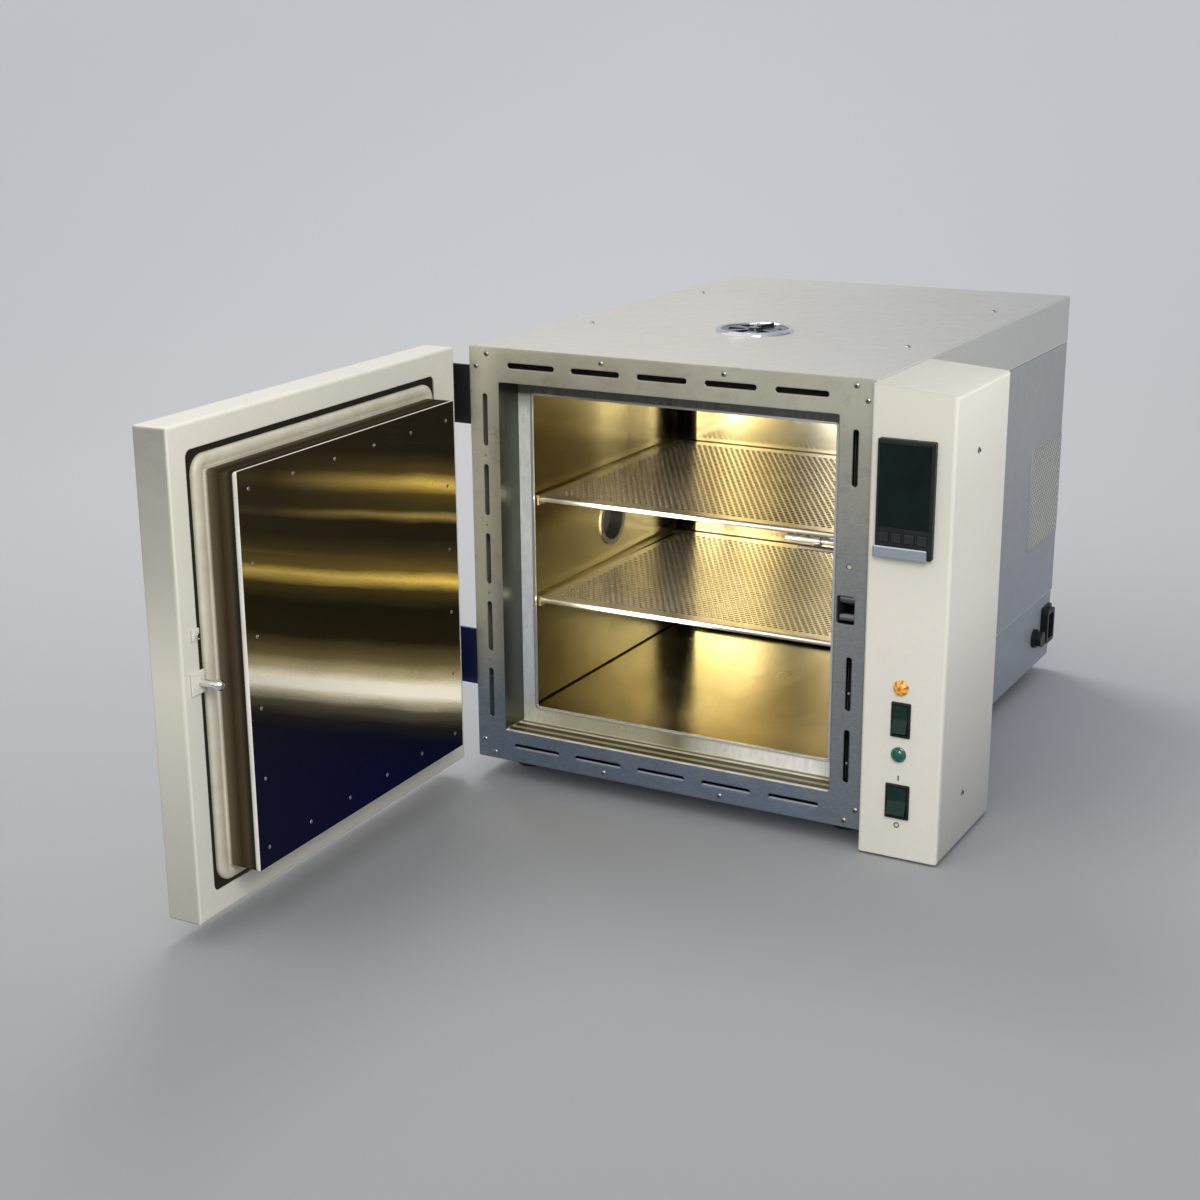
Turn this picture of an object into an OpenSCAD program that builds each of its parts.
// Bench-top laboratory drying oven with a hinged insulated door, a side control
// column and perforated shelves. Millimetres, +X right, +Y towards the back, +Z up.
// Parts are drawn with x = 0 at the middle of the body, y = 0 at the front of the frame
// and z = 0 under the base tray; place() then moves the origin to the bottom centre of
// the whole outline. The door is drawn closed and then swung to its open rest angle.

/* [Body] */
// Overall width of the oven body
body_w = 381; // [380:1:384]
// Height of the body from the base tray to the top of the lid
body_h = 385.4; // [384:0.2:388]
// Depth of the body from the front frame to the back of the lid
body_d = 547; // [540:1:600]
// Height of the lid's side lips
lid_lip = 47.5; // [40:0.5:60]
// Height of the recessed base band
base_band = 72.3; // [60:0.1:75]
// Thickness of the painted sheet steel
sheet = 1.2; // [1:0.1:1.3]
// Height of the rubber feet
foot_h = 17.5; // [16.5:0.5:30]

/* [Front frame] */
// Half width of the door opening
open_x = 161; // [160.5:0.1:161.5]
// Depth of the stepped recess that takes the door plug
recess = 33; // [32:0.5:36]
// Length of each slot in the front frame
slot_len = 47.3; // [40:0.1:50]
// Width of each slot in the front frame
slot_w = 5; // [4:0.5:6]
// Distance between slot centres
slot_pitch = 64; // [60:1:66]

/* [Chamber] */
// Clear width of the chamber
chamber_w = 300; // [296:1:302]
// Clear height of the chamber
chamber_h = 300; // [296:1:302]
// Front edge of the shelves, behind the front frame
shelf_y = 42; // [40:1:50]
// Depth of the shelves
shelf_d = 280; // [240:1:281]
// Height of the upper shelf above the base tray
shelf_hi = 244; // [235:1:260]
// Height of the lower shelf above the base tray
shelf_lo = 148; // [120:1:160]
// Diameter of the shelf perforations
hole_d = 9; // [5:0.5:11]
// Distance between perforations along a row
hole_p = 16; // [14:0.5:24]

/* [Door] */
// Door width
door_w = 394; // [393:0.5:394]
// Door height
door_h = 385; // [384:0.5:386]
// Door shell thickness
door_t = 30.5; // [30:0.1:34]
// Gap between the closed door and the front frame
door_gap = 3.8; // [3.6:0.1:4]
// Angle of the open door at rest
door_open = 87.9; // [0:0.1:117]

/* [Control column] */
// Width of the control column
col_w = 70.7; // [66:0.1:80]
// Depth of the control column behind the front frame
col_d = 126.7; // [110:0.1:160]

/* [Hidden] */

$fn = 48;

// body
half_body = body_w / 2;
lid_bottom = body_h - lid_lip;
panel_t = 1.2; // rear panel and base tray
rear_y = body_d - panel_t;
frame_t = 1.5;
edge_r = 2.2; // lid edges
lid_screw_x = 157.2;
lid_screw_y = [163, 400];

// door opening and the throat behind it
opening_bottom = 29.3;
opening_top = 355;
opening_mid = (opening_bottom + opening_top) / 2;
opening_h = opening_top - opening_bottom;
throat_x = 146;
throat_bottom = 44.9;
throat_top = 339.4;

// chamber and the parts behind it
half_chamber = chamber_w / 2;
chamber_bottom = 44.8;
chamber_top = chamber_bottom + chamber_h;
liner_t = 1;
liner_front = recess + sheet;
liner_back = 345;
core_bottom = 8; // insulation and motor plate
core_top = 378;
plate_front = 386; // motor plate
plate_back = 387.5;
fan_z = (chamber_bottom + chamber_top) / 2;
heater_r = 75;
heater_leg_x = 12;
heater_leg_drop = 74;
heater_leg_r = 4.4;
row_ratio = 0.866; // row spacing over hole spacing in staggered perforations
sensor_y = 120;
control_sensor_z = 214;
safety_sensor_z = 206;

// top vent and side port
vent_y = 187.5;
vent_r = 36.4;
vent_bore = 25;
vent_tube_r = 26;
vent_plate_r = 30.8;
port_z = 190;
port_bore = 20;
port_tube_r = 22;

// sockets in the right side of the base tray
inlet_y = 529;
inlet_z = 37;
fuse_y = 491;
fuse_z = 32;

// door outline, closed
door_left = -204.5;
door_right = door_left + door_w;
door_bottom = 1;
door_top = door_bottom + door_h;
door_mid = (door_bottom + door_top) / 2;
door_back = -door_gap;
door_front = door_back - door_t;
door_skin = 1.2;
plug_x = 153;
plug_bottom = 37;
plug_top = 349.5;
plug_mid = (plug_bottom + plug_top) / 2;
plug_h = plug_top - plug_bottom;
plug_y = door_back + 30.4;
plug_skin = 1;

// hinge axis, and the bottoms of the two hinges
hinge_x = -206.6;
hinge_y = -13.6;
hinge_h = 53;
hinge_z = [70, 315];
hinge_r = 5;
pin_r = 2.5;
leaf_t = 2;

// door catch, door switch and handle
catch_x = 171;
catch_z = 192;
switch_x = 173;
switch_z = 229;
handle_x = door_right - 62;
handle_out = 28;
handle_half_w = 8;
handle_post_z = 60; // above and below the catch height

// control column
column_left = half_body;
column_right = half_body + col_w;
column_mid = (column_left + column_right) / 2;
column_front = -6;
column_back = col_d;
column_inner_top = 383.4; // beside the body
column_outer_top = 378.5;
column_bottom = -15.5;
column_wall = 1.5;
column_screw_y = 51.1;
column_screw_z = [325.8, 30];
column_screw_h = 1.3;
passage_y = 60; // hole from the body into the column
passage_z = 230;

// controls on the column's front
panel_x = 224.4;
controller_x = panel_x - 1.9;
controller_z = 293.5;
window_z = 304;
lamp_x = panel_x - 0.3;
amber_z = 134.9;
green_z = 76.7;
key_w = 9;
key_pitch = 10.8;
key_bottom = 257.5;
key_top = 266;
key_gap = 0.2;
// rocker switches: centre x, centre z, rocker width
fan_switch = [panel_x + 0.5, 107.2, 12.8];
mains_switch = [panel_x, 35.3, 16.8];

// outline with the door open, which sets the origin
swing_cos = cos(door_open);
swing_sin = sin(door_open);
// a point of the closed door after it swings open
function swung(x, y) = [
  hinge_x + (x - hinge_x) * swing_cos + (y - hinge_y) * swing_sin,
  hinge_y - (x - hinge_x) * swing_sin + (y - hinge_y) * swing_cos];
free_corner = swung(door_right, door_front);
handle_y = door_front - handle_out;
low_x = min(free_corner[0], swung(handle_x, handle_y)[0],
            swung(door_left, door_front)[0], swung(handle_x + handle_half_w, handle_y)[0]);
low_y = min(swung(door_right, door_back)[1], free_corner[1]);
origin_x = (low_x + column_right + column_screw_h) / 2;
origin_y = (low_y + body_d) / 2;

module place() { translate([-origin_x, -origin_y, foot_h]) children(); }
module door_place() {
  place() translate([hinge_x, hinge_y, 0]) rotate([0, 0, -door_open])
    translate([-hinge_x, -hinge_y, 0]) children();
}

/* ---- shared shapes ---- */
// flat rounded rectangle, centred
module round_rect(w, h, r) {
  square([w - 2 * r, h], center = true);
  square([w, h - 2 * r], center = true);
  for (x = [-1, 1], y = [-1, 1]) translate([x * (w / 2 - r), y * (h / 2 - r)]) circle(r);
}
// block from corner low to corner high with every edge rounded
module round_block(low, high, r) {
  size = high - low;
  translate((low + high) / 2) intersection() {
    linear_extrude(height = size[2], center = true) round_rect(size[0], size[1], r);
    rotate([90, 0, 0])
      linear_extrude(height = size[1], center = true) round_rect(size[0], size[2], r);
    rotate([90, 0, 90])
      linear_extrude(height = size[0], center = true) round_rect(size[1], size[2], r);
  }
}
module box(low, high) { translate(low) cube(high - low); }
// box centred on x and z, from y0 to y1
module mid_box(x, z, half_w, half_h, y0, y1) {
  box([x - half_w, y0, z - half_h], [x + half_w, y1, z + half_h]);
}
// box on the left (-1) or right (1), between two distances from x = 0; low, high are [y, z]
module side_box(side, inner, outer, low, high) {
  box([min(side * inner, side * outer), low[0], low[1]],
      [max(side * inner, side * outer), high[0], high[1]]);
}
// flat work in the XZ plane, from y0 to y1
module along_y(y0, y1) {
  translate([0, y1, 0]) rotate([90, 0, 0]) linear_extrude(height = y1 - y0) children();
}
// flat work in the YZ plane, from x0 to x1
module along_x(x0, x1) {
  translate([x0, 0, 0]) rotate([90, 0, 90]) linear_extrude(height = x1 - x0) children();
}
module rod_x(x0, x1, r) { translate([x0, 0, 0]) rotate([0, 90, 0]) cylinder(h = x1 - x0, r = r); }
module rod_y(y0, y1, r) { translate([0, y0, 0]) rotate([-90, 0, 0]) cylinder(h = y1 - y0, r = r); }
module slot(length, w) {
  square([length - w, w], center = true);
  for (s = [-1, 1]) translate([s * (length - w) / 2, 0]) circle(w / 2);
}
// domed head on the XZ plane, dome towards -Y
module dome_y(r, h) {
  ball_r = (r * r + h * h) / (2 * h);
  rotate([90, 0, 0]) intersection() {
    cylinder(h = h, r = r);
    translate([0, 0, h - ball_r]) sphere(ball_r);
  }
}

/* ---- outlines and rods on shared axes ---- */
module opening_outline(extra, r) {
  translate([0, opening_mid]) round_rect(2 * open_x + extra, opening_h + extra, r);
}
module throat_outline(extra, r) {
  translate([0, (throat_bottom + throat_top) / 2])
    round_rect(2 * throat_x + extra, throat_top - throat_bottom + extra, r);
}
module plug_outline(extra, r) {
  translate([0, plug_mid]) round_rect(2 * plug_x + extra, plug_h + extra, r);
}
// outside of the chamber liner, starting at y0
module liner_block(y0) {
  box([-half_chamber - liner_t, y0, chamber_bottom - liner_t],
      [half_chamber + liner_t, liner_back + liner_t, chamber_top + liner_t]);
}
module vent_rod(z, h, r) { translate([0, vent_y, z]) cylinder(h = h, r = r); }
module port_rod(x0, x1, r) { translate([0, vent_y, port_z]) rod_x(x0, x1, r); }
module fan_rod(y0, y1, r) { translate([0, 0, fan_z]) rod_y(y0, y1, r); }
module sensor_rod(z, x0, x1, r) { translate([0, sensor_y, z]) rod_x(x0, x1, r); }
module hinge_rod(z, h, r) { translate([hinge_x, hinge_y, z]) cylinder(h = h, r = r); }
module heater_leg_holes(y0, y1, r) {
  for (s = [-1, 1])
    translate([s * heater_leg_x, 0, fan_z - heater_leg_drop]) rod_y(y0, y1, r);
}
module at_lid_screws() {
  for (s = [-1, 1], y = lid_screw_y) translate([s * lid_screw_x, y, body_h]) children();
}
module inlet_block(x0, x1, w, h, r) {
  translate([0, inlet_y, inlet_z]) along_x(x0, x1) round_rect(w, h, r);
}

/* ---- body shell ---- */
slot_inset = 15; // slot centres from the edge of the frame
fold_r = 3.2;    // outer corners of the recess

module front_frame() color([0.74, 0.73, 0.68]) place() {
  along_y(0, frame_t) difference() {
    translate([0, body_h / 2]) round_rect(body_w, body_h, 1.5);
    opening_outline(0, 2);
    for (i = [-2:2]) {
      for (z = [slot_inset, body_h - slot_inset])
        translate([i * slot_pitch, z]) slot(slot_len, slot_w);
      translate([-half_body + slot_inset, opening_mid + i * slot_pitch])
        rotate(90) slot(slot_len, slot_w);
    }
    // the right side leaves two places free for the catch and the door switch
    for (i = [-2, -1, 2])
      translate([half_body - slot_inset, opening_mid + i * slot_pitch])
        rotate(90) slot(slot_len, slot_w);
    translate([catch_x, catch_z]) round_rect(16, 24, 2);
    translate([switch_x, switch_z]) circle(2.5);
  }
  // folded returns of the stepped recess
  along_y(frame_t, recess) difference() {
    opening_outline(2.4, fold_r);
    opening_outline(0, 2);
  }
}

module frame_screws() color("silver") place() {
  for (x = [-173, -58, 58, 175], z = [6, 379.5]) translate([x, 0, z]) dome_y(2.6, 1.3);
  for (x = [-184, 185], z = [17, 368]) translate([x, 0, z]) dome_y(2.6, 1.3);
}

module chamber_rim() color([0.78, 0.78, 0.74]) place() {
  // flat strip from the recess in to the throat
  along_y(recess, recess + sheet) difference() {
    opening_outline(2.4, fold_r);
    throat_outline(0, 1.5);
  }
  // raised bead round the throat
  along_y(recess - 1.2, recess) difference() {
    throat_outline(4, 3.5);
    throat_outline(0, 1.5);
  }
}

module chamber_liner() color([0.72, 0.62, 0.36]) place() difference() {
  liner_block(liner_front);
  box([-half_chamber, liner_front - 1, chamber_bottom], [half_chamber, liner_back, chamber_top]);
  vent_rod(chamber_top - 1, 4, vent_bore);
  port_rod(-half_chamber - 3, -half_chamber + 1, port_tube_r + 0.05);
  sensor_rod(control_sensor_z, half_chamber - 1, half_chamber + 3, 3.2);
  sensor_rod(safety_sensor_z, half_chamber - 1, half_chamber + 3, 2.2);
  fan_rod(liner_back - 1, liner_back + 3, 6);
  heater_leg_holes(liner_back - 1, liner_back + 3, 4.6);
}

module rear_baffle() color([0.7, 0.6, 0.36]) place() {
  front = 325.5;
  back = 326.5;
  pitch = 10;
  grille_r2 = 1800; // square of the radius that holds the hole centres
  along_y(front, back) difference() {
    translate([0, 194]) round_rect(262, 288, 4);
    for (j = [-4:4], i = [-4:4])
      let (x = i * pitch + (j % 2 == 0 ? 0 : pitch / 2), z = j * pitch * row_ratio)
        if (x * x + z * z < grille_r2) translate([x, fan_z + z]) circle(3);
  }
  // standoffs to the back of the liner
  for (x = [-118, 118], z = [62, 326]) translate([x, 0, z]) rod_y(back, liner_back, 5);
}

module insulation() color([0.86, 0.82, 0.6]) place() difference() {
  box([-186, 36, core_bottom], [186, 385, core_top]);
  liner_block(30);
  vent_rod(chamber_top - 1, 60, vent_tube_r + 0.2);
  port_rod(-190, -half_chamber, port_tube_r + 0.2);
  sensor_rod(control_sensor_z, half_chamber, 190, 5.2);
  sensor_rod(safety_sensor_z, half_chamber, 190, 3.2);
  fan_rod(340, 390, 8);
  heater_leg_holes(340, 390, 4.6);
}

module base_tray() color([0.55, 0.58, 0.62]) place() difference() {
  outer = half_body - panel_t;
  back = rear_y - panel_t;
  union() {
    box([-outer, frame_t, 0], [outer, back, panel_t]);
    for (side = [-1, 1])
      side_box(side, outer - panel_t, outer, [frame_t, 0], [back, base_band + 12]);
    // front lip
    box([-outer + panel_t, frame_t, 0], [outer - panel_t, frame_t + panel_t, 14]);
  }
  // mains inlet and fuse cut-outs
  inlet_block(half_body - 4, half_body + 1, 24, 34, 3);
  translate([0, fuse_y, fuse_z]) rod_x(half_body - 4, half_body + 1, 6);
  // slots in the floor
  for (y = [80:80:480], x = [-120:60:120])
    translate([x, y, -1]) linear_extrude(height = 3) slot(30, 5);
}

// side sheet with a hidden joggle behind its front edge and behind the lid lip
module side_sheet(side) {
  inner = half_body - sheet;
  joggle_top = lid_bottom + 20;
  side_box(side, inner, half_body, [frame_t, base_band], [rear_y, lid_bottom - 0.6]);
  side_box(side, inner - sheet, inner, [2, base_band + 14], [3.2, joggle_top]);
  side_box(side, inner - sheet, inner, [3.2, lid_bottom - 12], [rear_y - 4, joggle_top]);
}
module side_panel_left() color([0.85, 0.83, 0.77]) place() difference() {
  side_sheet(-1);
  port_rod(-half_body - 1, -half_body + 5, port_tube_r + 0.1);
}
module side_panel_right() color([0.62, 0.64, 0.67]) place() difference() {
  side_sheet(1);
  // three columns of twelve slots near the back
  translate([0, 493, 190]) along_x(half_body - 3, half_body + 1)
    for (i = [0:11], j = [-1:1]) translate([j * 32, (i - 5.5) * 8.6]) slot(26, 3.2);
  translate([0, passage_y, passage_z]) rod_x(half_body - 3, half_body + 1, 12);
}

module rear_panel() color([0.8, 0.78, 0.72]) place()
  along_y(rear_y - panel_t, rear_y) difference() {
    translate([0, body_h / 2]) square([body_w - 2 * sheet, body_h - 2.4], center = true);
    // slot banks: bottom row z, number of rows
    for (bank = [[240, 10], [70, 5]], i = [0:bank[1] - 1], j = [-1:1])
      translate([j * 70, bank[0] + i * 9]) slot(56, 3.6);
  }

module top_lid() color([0.86, 0.84, 0.78]) place() difference() {
  below = 10; // keeps the rounded lower corners clear of the lip
  intersection() {
    box([-half_body, frame_t, lid_bottom], [half_body, body_d, body_h]);
    along_y(-1, body_d + 1) translate([0, lid_bottom - below + (lid_lip + below) / 2])
      round_rect(body_w, lid_lip + below, edge_r);
    along_x(-half_body - 1, half_body + 1)
      translate([body_d / 2, body_h / 2]) round_rect(body_d, body_h, edge_r);
  }
  box([-half_body + sheet, 0, lid_bottom - 1], [half_body - sheet, rear_y, body_h - sheet]);
  vent_rod(body_h - 3, 5, 28);
  at_lid_screws() translate([0, 0, -3]) cylinder(h = 5, r = 1.6);
}
module case_screws() color("dimgray") place() {
  at_lid_screws() {
    translate([0, 0, -5]) cylinder(h = 5, r = 1.55);
    rotate([-90, 0, 0]) dome_y(2.8, 1.2);
  }
  for (z = column_screw_z) translate([column_right, column_screw_y, z]) {
    rod_x(-5, 0, 1.65);
    rotate([0, 0, 90]) dome_y(2.8, column_screw_h);
  }
}

module rubber_feet() color("black") place()
  for (x = [-160, 160], y = [45, 500]) translate([x, y, 0]) rotate_extrude()
    polygon([[0, 0], [16, 0], [16, -3], [15, -8],
      [14, -foot_h + 1.5], [12.5, -foot_h], [0, -foot_h]]);

/* ---- fan and heater ---- */
shaft_r = 4;

module motor_plate() color("silver") place() difference() {
  box([-184, plate_front, core_bottom], [184, plate_back, core_top]);
  fan_rod(380, 390, 12);
  heater_leg_holes(380, 390, 7);
}
module fan_motor() color([0.35, 0.36, 0.38]) place() difference() {
  union() {
    fan_rod(plate_back, 391, 46);
    fan_rod(391, 440, 40);
    // ribs
    for (i = [0:5]) fan_rod(396 + i * 7, 399 + i * 7, 42);
    fan_rod(440, 452, 18);
  }
  fan_rod(380, 446, shaft_r + 0.06);
}
module fan_shaft() color("silver") place() fan_rod(328, 445, shaft_r);
module fan_impeller() color([0.7, 0.7, 0.66]) place() difference() {
  union() {
    // back disc, hub and blades
    fan_rod(339.5, 340.7, 55);
    fan_rod(330, 340, 9);
    translate([0, 0, fan_z]) for (i = [0:11])
      rotate([0, i * 30, 0]) translate([22, 329.5, -0.6]) cube([32, 10.4, 1.2]);
  }
  fan_rod(320, 350, shaft_r);
}
// ring open at the bottom, with two legs running back
module heating_element() color([0.35, 0.3, 0.26]) place() translate([0, 336, fan_z]) {
  difference() {
    rotate([90, 0, 0]) rotate_extrude() translate([heater_r, 0]) circle(4);
    box([-heater_leg_x, -8, -90], [heater_leg_x, 8, -60]);
  }
  for (s = [-1, 1]) translate([s * heater_leg_x, 0, -heater_leg_drop]) {
    sphere(heater_leg_r);
    rod_y(0, 60, heater_leg_r);
  }
}

/* ---- shelves, sensors and side port ---- */
module shelf_runners() color([0.75, 0.7, 0.5]) place()
  for (side = [-1, 1], z = [shelf_lo, shelf_hi]) {
    side_box(side, half_chamber - 8, half_chamber, [46, z - 1], [322, z]);
    side_box(side, half_chamber - 1, half_chamber, [46, z - 9], [322, z - 1]);
  }
module shelf(z) place() translate([0, 0, z]) {
  half_w = 145;
  row_pitch = hole_p * row_ratio;
  rows = floor((shelf_d - 24) / row_pitch);
  holes = floor((280 - 8) / hole_p);
  back = shelf_y + shelf_d;
  // perforated plate; every other row is shifted and has one hole fewer
  linear_extrude(height = 1) difference() {
    translate([0, shelf_y + shelf_d / 2]) square([2 * half_w, shelf_d], center = true);
    for (j = [0:rows - 1], i = [0:holes - 1 - j % 2])
      translate([(i - (holes - 1) / 2 + (j % 2) / 2) * hole_p, shelf_y + 14 + j * row_pitch])
        circle(hole_d / 2);
  }
  // rolled front edge
  difference() {
    translate([0, shelf_y, -1.5]) rod_x(-half_w, half_w, 2.5);
    box([-half_w - 1, shelf_y, 0], [half_w + 1, shelf_y + 4, 2]);
  }
  // back lip
  box([-half_w, back - 1, 1], [half_w, back, 9]);
}
module shelf_upper() color([0.78, 0.66, 0.42]) shelf(shelf_hi);
module shelf_lower() color([0.78, 0.66, 0.42]) shelf(shelf_lo);

// round-tipped rod from x0 out through the right wall of the chamber
module probe(x0, z, r) {
  sensor_rod(z, x0, 184, r);
  translate([x0, sensor_y, z]) sphere(r);
}
module control_sensor() color("silver") place() {
  probe(66, control_sensor_z, 3);
  sensor_rod(control_sensor_z, 93, 99, 4.6);
  sensor_rod(control_sensor_z, 142, 149.9, 6);
}
module safety_sensor() color("dimgray") place() {
  probe(78, safety_sensor_z, 2);
  sensor_rod(safety_sensor_z, 144, 149.9, 1.9);
}
module port_tube() color("silver") place() difference() {
  union() {
    port_rod(-half_body - 2, -half_chamber, port_tube_r);
    // inner and outer flanges
    port_rod(-half_chamber, -half_chamber + 1.2, 25);
    port_rod(-half_body - 2, -half_body, 26);
  }
  port_rod(-half_body - 3, -half_chamber + 2, port_bore);
}
module port_bung() color([0.8, 0.45, 0.3]) place() {
  port_rod(-half_body + 6, -half_chamber - 14, port_bore);
  port_rod(-half_body - 2, -half_body + 6, port_bore);
  port_rod(-half_body - 9, -half_body - 2, 24);
}

/* ---- top vent ---- */
// six ring sectors, each 30 degrees wide
module vent_sectors() {
  reach = 60;
  spread = reach * tan(30 / 2);
  for (i = [0:5]) rotate(i * 60) difference() {
    intersection() {
      circle(24.5);
      polygon([[0, 0], [reach, -spread], [reach, spread]]);
    }
    circle(9);
  }
}
module vent_collar() color([0.8, 0.8, 0.8]) place() {
  // bezel on the lid
  translate([0, vent_y, body_h]) rotate_extrude()
    polygon([[vent_plate_r, 0], [vent_r, 0], [vent_r - 0.6, 1.6], [vent_r - 2.2, 3],
      [32.2, 3.2], [vent_plate_r, 2.4]]);
  // fixed slotted plate
  translate([0, vent_y, body_h]) linear_extrude(height = 0.8) difference() {
    circle(vent_plate_r);
    vent_sectors();
    circle(1.6);
  }
  // tube down to the chamber
  tube_bottom = chamber_top + liner_t;
  difference() {
    vent_rod(tube_bottom, body_h - tube_bottom, vent_tube_r);
    vent_rod(tube_bottom - 1, body_h - tube_bottom + 3, vent_bore);
  }
}
module vent_damper() color([0.3, 0.32, 0.34]) place() translate([0, vent_y, body_h]) {
  translate([0, 0, 1]) linear_extrude(height = 1) difference() {
    circle(vent_plate_r - 0.2);
    rotate(14) vent_sectors();
  }
  // pivot, hub and finger tab
  translate([0, 0, -3]) cylinder(h = 4.2, r = 1.54);
  translate([0, 0, 2]) cylinder(h = 1.6, r = 6);
  rotate(75) box([5, -1.2, 2], [27, 1.2, 4.4]);
}

/* ---- control column ---- */
// front outline with rounded outer corners and a sloping top, shrunk by inset
module column_outline(inset) {
  left = column_left + inset;
  right = column_right - inset;
  translate([column_mid, (column_bottom + column_outer_top) / 2])
    round_rect(col_w - 2 * inset, column_outer_top - column_bottom - 2 * inset,
      max(0.6, 3 - inset));
  polygon([[left, 200], [right - 3, 200],
    [right - 3, column_outer_top - inset], [left, column_inner_top - inset]]);
  // square lower corner against the body
  translate([left, column_bottom + inset]) square(8);
}
module control_column() color([0.85, 0.83, 0.78]) place() difference() {
  cut_front = column_front - 1;
  cut_back = column_front + 2;
  intersection() {
    along_y(column_front, column_back) column_outline(0);
    translate([0, 0, -50]) linear_extrude(height = 500)
      translate([column_mid, (column_front + column_back) / 2])
        round_rect(col_w, column_back - column_front, 3);
  }
  along_y(column_front + column_wall, column_back - column_wall) column_outline(column_wall);
  translate([0, passage_y, passage_z]) rod_x(column_left - 1, column_left + 3, 14);
  // panel cut-outs
  mid_box(controller_x, controller_z, 22.5, 46, cut_front, cut_back);
  for (z = [amber_z, green_z]) translate([lamp_x, 0, z]) rod_y(cut_front, cut_back, 5);
  for (switch = [fan_switch, mains_switch])
    mid_box(switch[0], switch[1], switch[2] / 2 + 1, 13.9, cut_front, cut_back);
  for (z = column_screw_z)
    translate([0, column_screw_y, z]) rod_x(column_right - 2, column_right + 1, 1.7);
}

// 48 x 96 panel controller
module controller_bezel() color([0.09, 0.1, 0.1]) place() difference() {
  round_block([controller_x - 24, column_front - 6, controller_z - 48],
    [controller_x + 24, column_front + 4, controller_z + 48], 1.6);
  mid_box(controller_x, controller_z, 30, 55, column_front, column_front + 6);
  // recesses for the window, the keys and the plate
  mid_box(controller_x, window_z, 21.5, 34, column_front - 7, column_front - 4.6);
  for (i = [0:3]) let (left = controller_x - 21 + i * key_pitch)
    box([left, column_front - 7, key_bottom], [left + key_w, column_front - 3, key_top]);
  box([controller_x - 24.5, column_front - 7, 244], [controller_x + 21, column_front - 3, 255]);
}
module controller_window() color([0.06, 0.1, 0.09]) place()
  mid_box(controller_x, window_z, 21.4, 33.9, column_front - 5.6, column_front - 4.6);
// electronics case behind the panel, with six blocks on its back
module controller_case() color([0.12, 0.12, 0.13]) place() {
  back = column_front + 82;
  mid_box(controller_x, controller_z, 22.4, 45.9, column_front, back);
  for (i = [0:5]) mid_box(controller_x, 265.5 + i * 12, 18, 3.5, back, back + 6);
}
module controller_plate() color([0.72, 0.76, 0.8]) place()
  round_block([controller_x - 24.5, column_front - 8.5, 245],
    [controller_x + 20.8, column_front - 3, 254.8], 1.2);
module key(i) place() {
  left = controller_x - 21 + i * key_pitch;
  round_block([left + key_gap, column_front - 6.9, key_bottom + key_gap],
    [left + key_w - key_gap, column_front - 3.9, key_top - key_gap], 0.8);
}
module key_page() color([0.2, 0.21, 0.22]) key(0);
module key_scroll() color([0.2, 0.21, 0.22]) key(1);
module key_down() color([0.2, 0.21, 0.22]) key(2);
module key_up() color([0.2, 0.21, 0.22]) key(3);

module lamp(z) place() translate([lamp_x, column_front, z]) {
  rotate([90, 0, 0]) rotate_extrude()
    polygon([[0, 0], [6.5, 0], [6.5, 1.2], [5.8, 1.8], [5.2, 3.2], [3.6, 4.4], [0, 4.9]]);
  rod_y(0, 18, 4.95);
}
module amber_lamp() color([0.95, 0.55, 0.1]) lamp(amber_z);
module green_lamp() color([0.0, 0.35, 0.25]) lamp(green_z);

rocker_y = column_front + 2; // rocker axle
module rocker_frame(switch) place() {
  x = switch[0];
  z = switch[1];
  w = switch[2];
  body_x = w / 2 + 0.9;
  body_z = 13.8;
  difference() {
    union() {
      round_block([x - w / 2 - 2, column_front - 2, z - 15.1],
        [x + w / 2 + 2, column_front + 2, z + 15.1], 1);
      mid_box(x, z, body_x, body_z, column_front, column_front + 22);
    }
    // trims the rim back to the column's front face
    difference() {
      mid_box(x, z, w, 20, column_front, column_front + 3);
      mid_box(x, z, body_x, body_z, column_front - 1, column_front + 4);
    }
    mid_box(x, z, w / 2, 12.9, column_front - 3, column_front + 9);
    translate([x, rocker_y, z]) rod_x(-w / 2 - 0.6, w / 2 + 0.6, 1.56);
  }
}
module rocker(switch) place()
  translate([switch[0], rocker_y, switch[1]]) rotate([-9, 0, 0]) {
    half_w = switch[2] / 2;
    along_x(-half_w + 0.3, half_w - 0.3)
      polygon([[-6.6, 11.2], [-6.2, 11.6], [-5.2, 11.7], [2, 7], [2, -7],
        [-5.2, -11.7], [-6.2, -11.6], [-6.6, -11.2], [-4.2, 0]]);
    rod_x(-half_w - 0.4, half_w + 0.4, 1.5);
  }
module fan_switch_frame() color([0.1, 0.12, 0.12]) rocker_frame(fan_switch);
module fan_rocker() color([0.1, 0.2, 0.17]) rocker(fan_switch);
module mains_switch_frame() color([0.1, 0.12, 0.12]) rocker_frame(mains_switch);
module mains_rocker() color([0.1, 0.2, 0.17]) rocker(mains_switch);

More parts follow.
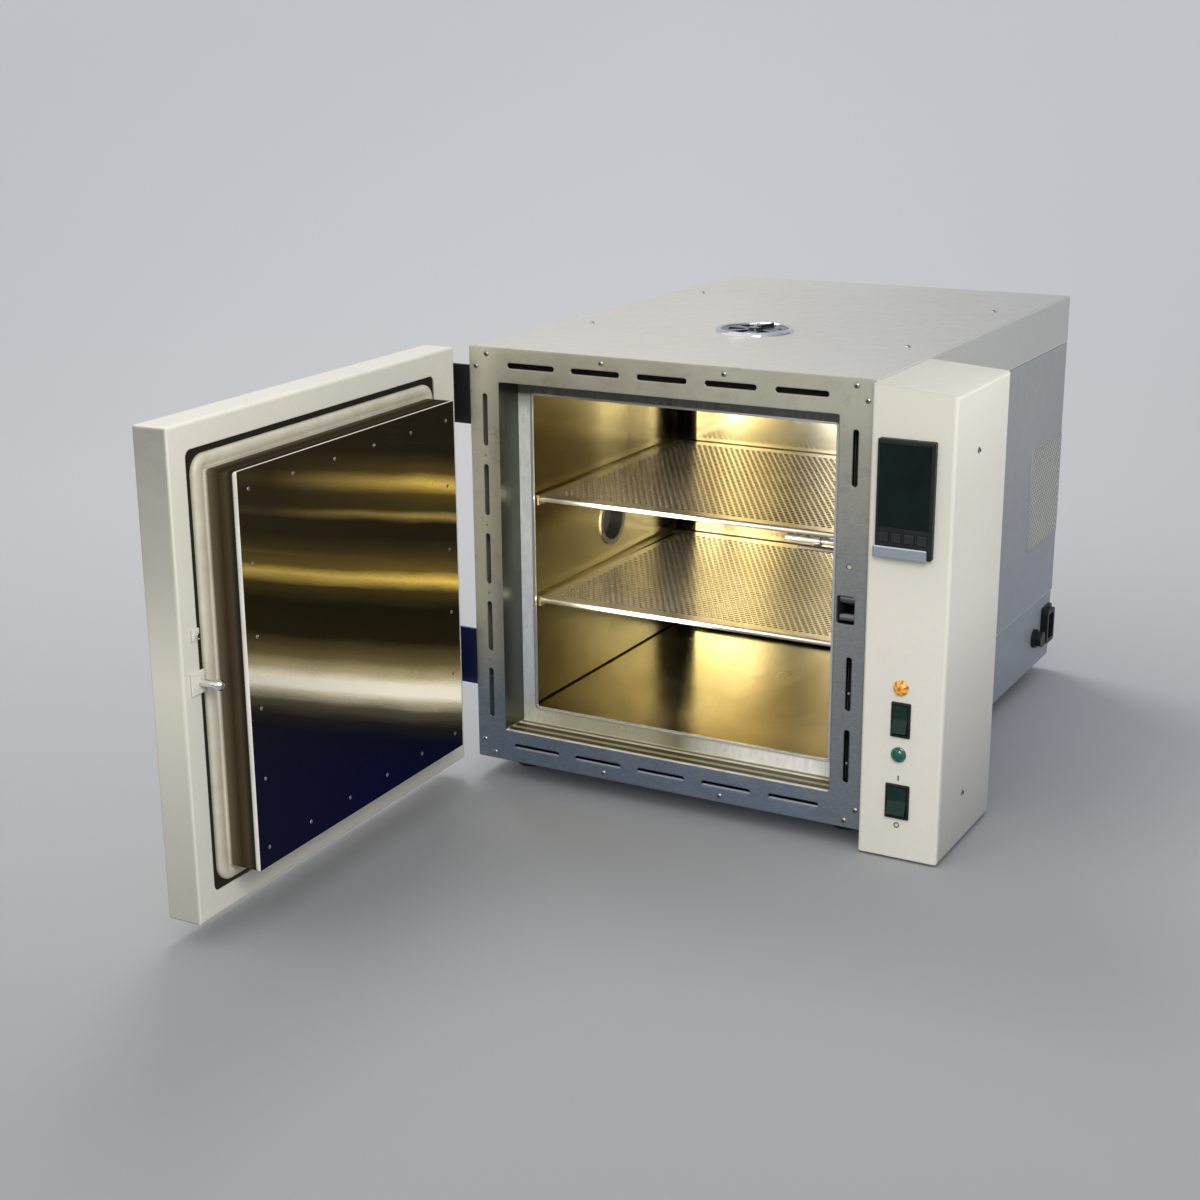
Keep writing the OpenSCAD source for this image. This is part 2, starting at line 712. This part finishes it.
// board with two blocks in front and four standoffs behind
module relay_board() color([0.15, 0.35, 0.2]) place() translate([column_left, column_back, 0]) {
  box([8, -12, 60], [60, -10.4, 200]);
  box([14, -34, 130], [54, -12, 185]);
  box([14, -30, 70], [54, -12, 84]);
  for (x = [14, 54], z = [65, 195]) translate([x, 0, z]) rod_y(-10.4, -column_wall, 3);
}
module mains_inlet() color([0.05, 0.05, 0.06]) place() difference() {
  union() {
    inlet_block(half_body - 1.2, half_body + 1.6, 30, 42, 3);
    inlet_block(half_body - 28, half_body - 1.2, 23.8, 33.8, 3);
    inlet_block(half_body + 1.6, half_body + 6, 25, 36, 4);
  }
  inlet_block(half_body - 14, half_body + 7, 17, 27, 3);
}
module fuse_holder() color([0.05, 0.05, 0.06]) place() translate([half_body, fuse_y, fuse_z]) {
  rod_x(-26, -1.2, 5.9);
  rod_x(-1.2, 3, 10);
  rod_x(3, 9, 8);
}

/* ---- door catch and switch, in the front frame ---- */
roller_y = 8;
module catch_housing() color([0.18, 0.18, 0.19]) place() difference() {
  box([catch_x - 8.4, frame_t, catch_z - 17.4], [catch_x + 9.6, 30, catch_z + 17.4]);
  box([catch_x - 7.2, 0, catch_z - 16.2], [catch_x + 8.4, 28.8, catch_z + 16.2]);
  // slots in which the roller axles travel
  for (s = [-1, 1]) translate([0, roller_y, catch_z + s * 9.1])
    along_x(catch_x - 9, catch_x + 10) rotate(90) slot(6, 3.1);
}
module catch_roller(s) place() translate([catch_x + 0.6, roller_y, catch_z + s * 8.2]) {
  rod_x(-7, 7, 5);
  rod_x(-8.8, 8.8, 1.5);
}
module catch_roller_upper() color([0.85, 0.85, 0.85]) catch_roller(1);
module catch_roller_lower() color([0.85, 0.85, 0.85]) catch_roller(-1);
module door_switch() color([0.12, 0.12, 0.13]) place() difference() {
  box([catch_x - 6, 8, switch_z - 10], [catch_x + 10, 26, switch_z + 10]);
  translate([switch_x, 0, switch_z]) rod_y(7, 18, 2.06);
}
module switch_plunger() color([0.8, 0.2, 0.15]) place() translate([switch_x, 0, switch_z]) {
  rod_y(1, 14, 2);
  rod_y(3, 4.5, 3.2);
}

/* ---- hinges ---- */
knuckle_z = 13.3; // middle knuckle, on the door leaf
knuckle_h = 26.4;
knuckle_top = knuckle_z + knuckle_h;

module hinge_brackets() color([0.07, 0.07, 0.08]) place() for (z = hinge_z) difference() {
  union() {
    box([-half_body - 2, 3, z], [-half_body, 27, z + hinge_h]);
    box([hinge_x - hinge_r, 0, z], [-half_body, 3, z + hinge_h]);
    box([hinge_x - hinge_r, hinge_y, z], [hinge_x - 2.5, 3, z + hinge_h]);
    hinge_rod(z, hinge_h, hinge_r);
  }
  hinge_rod(z + 13, 27, 5.8);
  hinge_rod(z - 1, hinge_h + 2, pin_r);
  for (k = [10, 43]) translate([0, 17, z + k]) rod_x(-half_body - 3, -half_body + 1, 1.9);
}
module hinge_pins() color("silver") place() for (z = hinge_z) {
  hinge_rod(z - 1.5, hinge_h + 3, pin_r);
  hinge_rod(z + hinge_h, 1.8, 3.6);
}
// room for the leaves and knuckles in the door edge
module leaf_pockets() {
  for (z = hinge_z) {
    box([door_left - 1, -32.2, z - 0.2], [door_left + leaf_t, -4.9, z + hinge_h + 0.2]);
    hinge_rod(z - 2.2, hinge_h + 4.8, 5.9);
  }
}
module hinge_leaves() color([0.07, 0.07, 0.08]) door_place() for (z = hinge_z) difference() {
  union() {
    box([door_left, -32, z], [door_left + leaf_t, -5.1, z + hinge_h]);
    hinge_rod(z + knuckle_z, knuckle_h, hinge_r);
    box([hinge_x, hinge_y - 4, z + knuckle_z], [door_left + 1, hinge_y + 4, z + knuckle_top]);
  }
  for (k = [-1, knuckle_top]) hinge_rod(z + k, 14.3, 5.8);
  hinge_rod(z, hinge_h, pin_r + 0.06);
}

/* ---- door, drawn closed ---- */
module handle_holes(depth) {
  for (s = [-1, 1]) translate([handle_x, 0, catch_z + s * handle_post_z])
    rod_y(door_front - 1, door_front + depth, 2.2);
}
module door_shell() color([0.86, 0.84, 0.78]) door_place() difference() {
  skin = [door_skin, door_skin, door_skin];
  low = [door_left, door_front, door_bottom];
  high = [door_right, door_back, door_top];
  round_block(low, high, 2.5);
  box(low + skin, high - skin);
  // window in the inner face for the plug
  along_y(door_back - 2, door_back + 1)
    translate([0, door_mid]) round_rect(339, door_h - 40, 6);
  leaf_pockets();
  handle_holes(2);
}
module door_insulation() color([0.86, 0.82, 0.6]) door_place() difference() {
  inset = 1.3;
  plug_inset = 1.2;
  split_y = door_back - 3.5;
  union() {
    box([door_left + inset, door_front + inset, door_bottom + inset],
      [door_right - inset, split_y, door_top - inset]);
    box([-plug_x + plug_inset, split_y, plug_bottom + plug_inset],
      [plug_x - plug_inset, plug_y - plug_inset, plug_top - plug_inset]);
  }
  leaf_pockets();
  handle_holes(10);
}
module door_plug() color([0.45, 0.4, 0.28]) door_place() {
  chamfer = 2;
  // face and side walls of the pan
  difference() {
    intersection() {
      along_y(door_back - 3.4, plug_y) plug_outline(0, 3);
      translate([0, 0, plug_mid]) linear_extrude(height = 400, center = true)
        polygon([[-plug_x, door_back - 4], [plug_x, door_back - 4],
          [plug_x, plug_y - chamfer], [plug_x - chamfer, plug_y],
          [-plug_x + chamfer, plug_y], [-plug_x, plug_y - chamfer]]);
    }
    box([-plug_x + plug_skin, door_back - 5, plug_bottom + plug_skin],
      [plug_x - plug_skin, plug_y - plug_skin, plug_top - plug_skin]);
  }
  // brim under the seal
  along_y(door_back - 2.4, door_back - 1.2) difference() {
    translate([0, door_mid]) round_rect(352, door_h - 30, 3);
    plug_outline(0, 3);
  }
}
module door_seal() color([0.93, 0.93, 0.9]) door_place() difference() {
  step_y = door_back + 2.4;
  union() {
    along_y(door_back - 1.2, step_y) plug_outline(23, 12);
    along_y(step_y, door_back + 3.5) plug_outline(19, 10);
  }
  along_y(door_back - 3, door_back + 5) plug_outline(0, 3);
  along_y(step_y, door_back + 5) plug_outline(5, 4);
}
module door_striker() color([0.85, 0.85, 0.83]) door_place() {
  // feet of the catch peg and the switch pin
  round_block([catch_x - 5.2, door_back, catch_z - 9],
    [door_right - 8, door_back + 2, catch_z + 9], 0.9);
  round_block([switch_x - 4.5, door_back, switch_z - 4.5],
    [switch_x + 4.5, door_back + 1.6, switch_z + 4.5], 0.7);
  // necked catch peg
  translate([catch_x, 0, catch_z]) {
    rod_y(door_back + 1, 14, 3);
    rod_y(13.4, 16, 4.2);
    translate([0, 16, 0]) rotate([-90, 0, 0]) cylinder(h = 2, r1 = 4.2, r2 = 2.4);
  }
  translate([switch_x, 0, switch_z]) rod_y(door_back + 1, 0.7, 1.9);
}
module door_handle() color([0.08, 0.08, 0.09]) door_place() translate([handle_x, 0, catch_z]) {
  for (s = [-1, 1]) {
    z = s * handle_post_z;
    round_block([-handle_half_w, handle_y, z - 9], [handle_half_w, door_front, z + 9], 3.5);
    translate([0, 0, z]) rod_y(door_front, door_front + 6, 2.1);
  }
  round_block([-handle_half_w, handle_y, -66], [handle_half_w, handle_y + 11, 66], 5);
}
// rivets round the edge of the plug's face
module door_rivets() color("silver") door_place() {
  half_w = plug_x - 15;
  half_h = plug_h / 2 - 15;
  for (i = [0:5], s = [-1, 1]) {
    along = -1 + i * 2 / 5;
    translate([along * half_w, plug_y, plug_mid + s * half_h])
      rotate([0, 0, 180]) dome_y(1.8, 0.7);
    if (i > 0 && i < 5) translate([s * half_w, plug_y, plug_mid + along * half_h])
      rotate([0, 0, 180]) dome_y(1.8, 0.7);
  }
}

front_frame();
frame_screws();
chamber_rim();
chamber_liner();
rear_baffle();
insulation();
base_tray();
side_panel_left();
side_panel_right();
rear_panel();
top_lid();
case_screws();
rubber_feet();
motor_plate();
fan_motor();
fan_impeller();
fan_shaft();
heating_element();
shelf_runners();
shelf_upper();
shelf_lower();
control_sensor();
safety_sensor();
port_tube();
port_bung();
vent_collar();
vent_damper();
control_column();
controller_bezel();
controller_case();
controller_window();
controller_plate();
key_page();
key_scroll();
key_down();
key_up();
amber_lamp();
green_lamp();
fan_switch_frame();
fan_rocker();
mains_switch_frame();
mains_rocker();
relay_board();
mains_inlet();
fuse_holder();
catch_housing();
catch_roller_upper();
catch_roller_lower();
door_switch();
switch_plunger();
hinge_brackets();
hinge_pins();
hinge_leaves();
door_shell();
door_insulation();
door_plug();
door_seal();
door_striker();
door_handle();
door_rivets();
